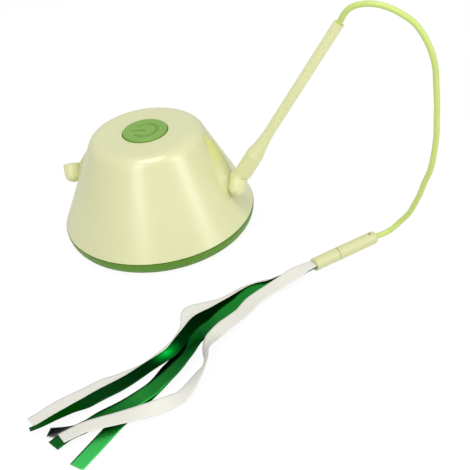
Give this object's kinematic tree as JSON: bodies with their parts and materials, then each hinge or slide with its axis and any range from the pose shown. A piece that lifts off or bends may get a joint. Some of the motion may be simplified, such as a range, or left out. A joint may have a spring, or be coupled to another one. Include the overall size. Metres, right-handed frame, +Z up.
{
  "type": "rotating cat toy",
  "caption": "Rotating cat toy: a cone-shaped head turns on a low tray and swings a plug-in wand with a cord and a ribbon lure; a round button on top switches it.",
  "frame": {"origin": "on the table, at the axis that the head turns about", "axes": "+Z up along the axis of turning; +X towards the socket that holds the wand; the empty socket is on -X"},
  "size_m": [0.2172, 0.2376, 0.137],
  "materials": {
    "shell_cream": "satin moulded, pale cream-green",
    "socket_cream": "satin moulded, pale cream-green",
    "tray_green": "satin moulded, leaf green",
    "button_green": "fine satin, soft green",
    "wand_cream": "satin moulded, pale cream-green",
    "cord_lime": "smooth springy elastomer, lime",
    "connector_cream": "satin moulded, pale cream-green",
    "ribbon_white": "woven satin, off-white",
    "ribbon_green": "metallic film, green",
    "ribbon_dark": "metallic film, dark green",
    "ribbon_bright": "metallic film, bright green",
    "frame_grey": "matt moulded, grey",
    "gear_white": "matt moulded, white",
    "steel": "plain",
    "gear_brass": "plain",
    "board_green": "solder mask",
    "black_plastic": "matt",
    "plunger_red": "matt",
    "cell_grey": "wrapped sleeve",
    "foot_rubber": "matt"
  },
  "bodies": {
    "base": {"base_tray": "tray_green", "rubber_feet": "foot_rubber", "battery_door": "tray_green", "door_screw": "steel", "battery_cells": "cell_grey", "battery_contacts": "steel", "inner_frame": "frame_grey", "frame_screws": "steel", "motor_can": "steel", "gearbox_case": "gear_brass", "motor_clamp": "steel", "clamp_screws": "steel", "main_board": "board_green", "board_parts": "black_plastic", "switch_board": "board_green", "switch_body": "black_plastic", "thrust_washer": "gear_white", "hub_clip": "steel"},
    "head": {"head_shell": "shell_cream", "drive_hub": "gear_white", "hub_screws": "steel", "wand_socket": "socket_cream", "spare_socket": "socket_cream", "socket_screws": "steel", "button_spring": "steel"},
    "pinion": {"motor_shaft": "steel", "motor_pinion": "gear_white"},
    "button": {"button_cap": "button_green"},
    "plunger": {"switch_plunger": "plunger_red"},
    "wand_arm": {"wand": "wand_cream", "cord": "cord_lime", "connector_upper": "connector_cream"},
    "lure": {"connector_lower": "connector_cream", "ribbon_white_front": "ribbon_white", "ribbon_white_back": "ribbon_white", "ribbon_green_left": "ribbon_green", "ribbon_green_middle": "ribbon_green", "ribbon_green_dark": "ribbon_dark", "ribbon_green_bright": "ribbon_bright"}
  },
  "joints": [
    {"name": "head_spin", "type": "hinge", "parent": "base", "child": "head", "pos_m": [0, 0, 0], "axis": [0, 0, 1], "continuous": true},
    {"name": "pinion_spin", "type": "hinge", "parent": "base", "child": "pinion", "pos_m": [0, 0.02, 0], "axis": [0, 0, 1], "continuous": true},
    {"name": "button_press", "type": "slide", "parent": "head", "child": "button", "axis": [0, 0, -1], "range_m": [0, 0.0015], "stiffness_N_per_m": 400, "springref_m": -0.001, "deforming": ["button_spring"]},
    {"name": "switch_press", "type": "slide", "parent": "base", "child": "plunger", "axis": [0, 0, -1], "range_m": [0, 0.0015]},
    {"name": "wand_pull", "type": "slide", "parent": "head", "child": "wand_arm", "axis": [0.161, 0.3746, 0.9131], "range_m": [0, 0.012]},
    {"name": "lure_pull", "type": "slide", "parent": "wand_arm", "child": "lure", "axis": [-0.6626, -0.749, 0], "range_m": [0, 0.012]}
  ],
  "couplings": [
    {"joint": "pinion_spin", "follows": "head_spin", "ratio": -2.3333},
    {"joint": "switch_press", "follows": "button_press", "ratio": 1}
  ]
}
